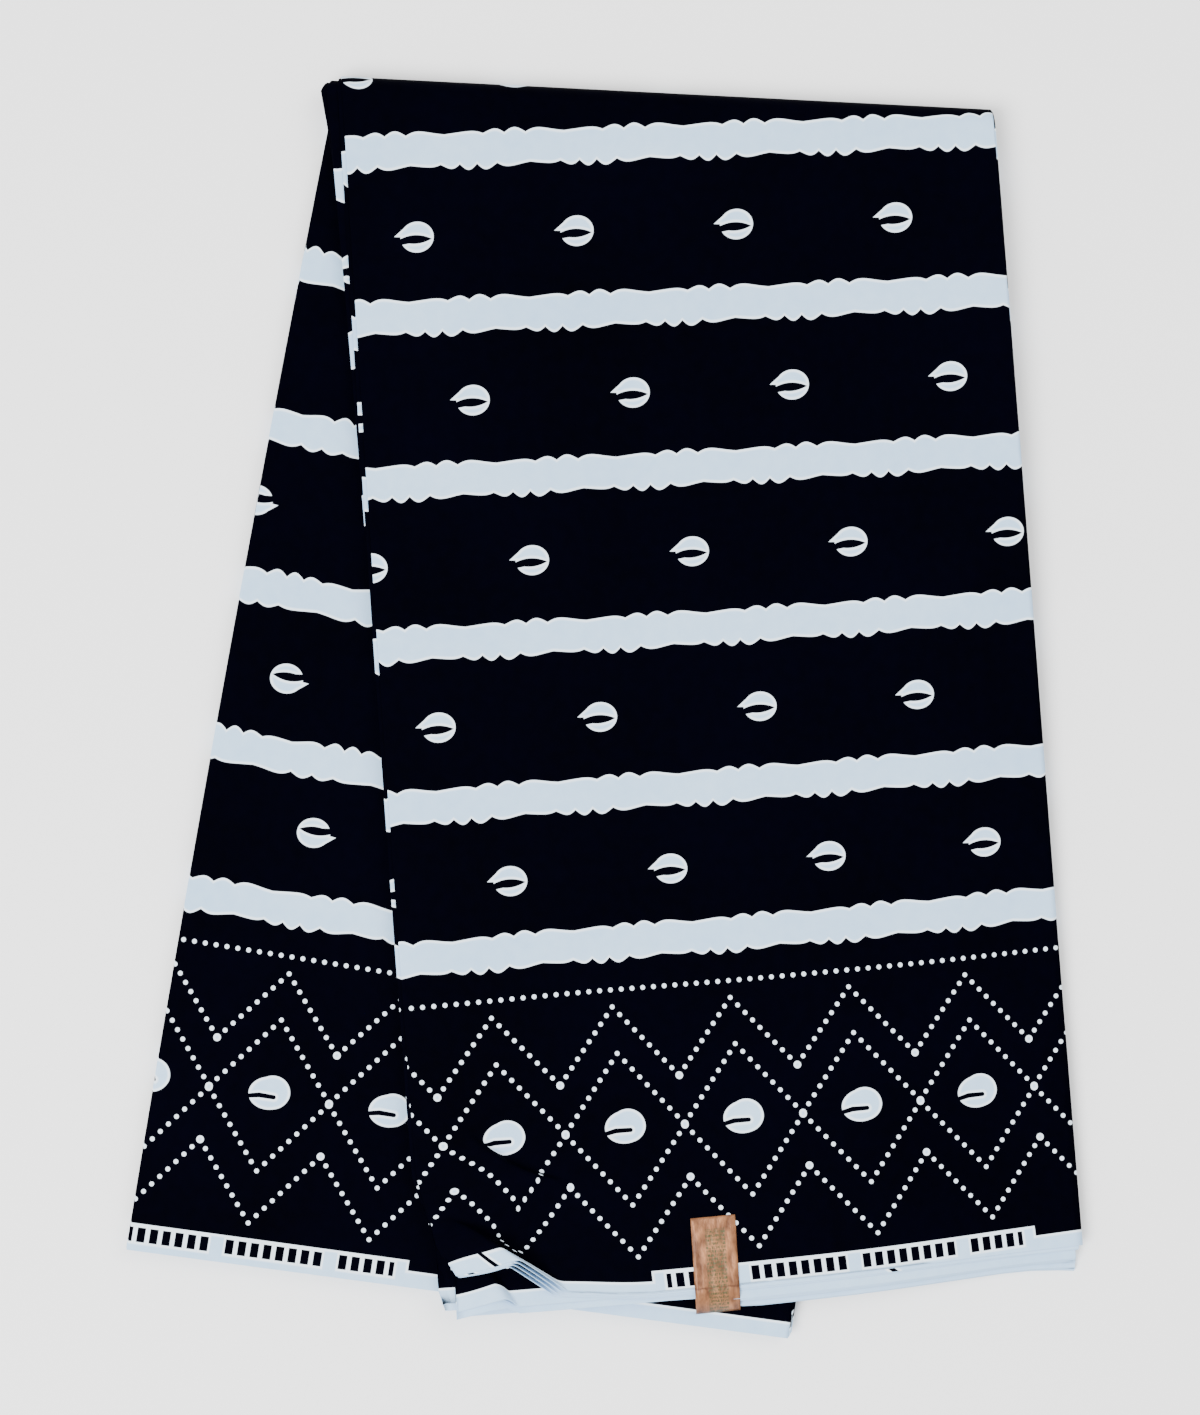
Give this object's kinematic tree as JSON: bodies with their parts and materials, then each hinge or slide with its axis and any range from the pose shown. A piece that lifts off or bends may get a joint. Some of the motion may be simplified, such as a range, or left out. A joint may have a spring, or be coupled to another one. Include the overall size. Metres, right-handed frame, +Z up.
{
  "type": "folded wax print fabric",
  "caption": "Length of wax print cotton folded into a long flat pack and doubled over askew, striped with a dotted zigzag border, with a plain foil label at its open end.",
  "frame": {"origin": "middle of the pack's outline, on the surface that it lies on", "axes": "+Y to the crease at the pack's far end, +X to the right as in the picture, +Z up"},
  "size_m": [0.4688, 0.6298, 0.0272],
  "materials": {
    "print": "plain-woven waxed cotton, near-black navy with a pale blue-white print, faint sheen",
    "foil": "copper-coloured foil sticker, worn, with faded plain green bars"
  },
  "bodies": {
    "root": {"under_panel": "print", "back_layers": "print", "back_panel": "print", "front_layers": "print", "leaf_a": "print", "leaf_b": "print", "front_panel": "print", "fold_layers": "print", "top_fold": "print", "label": "foil"}
  },
  "joints": []
}
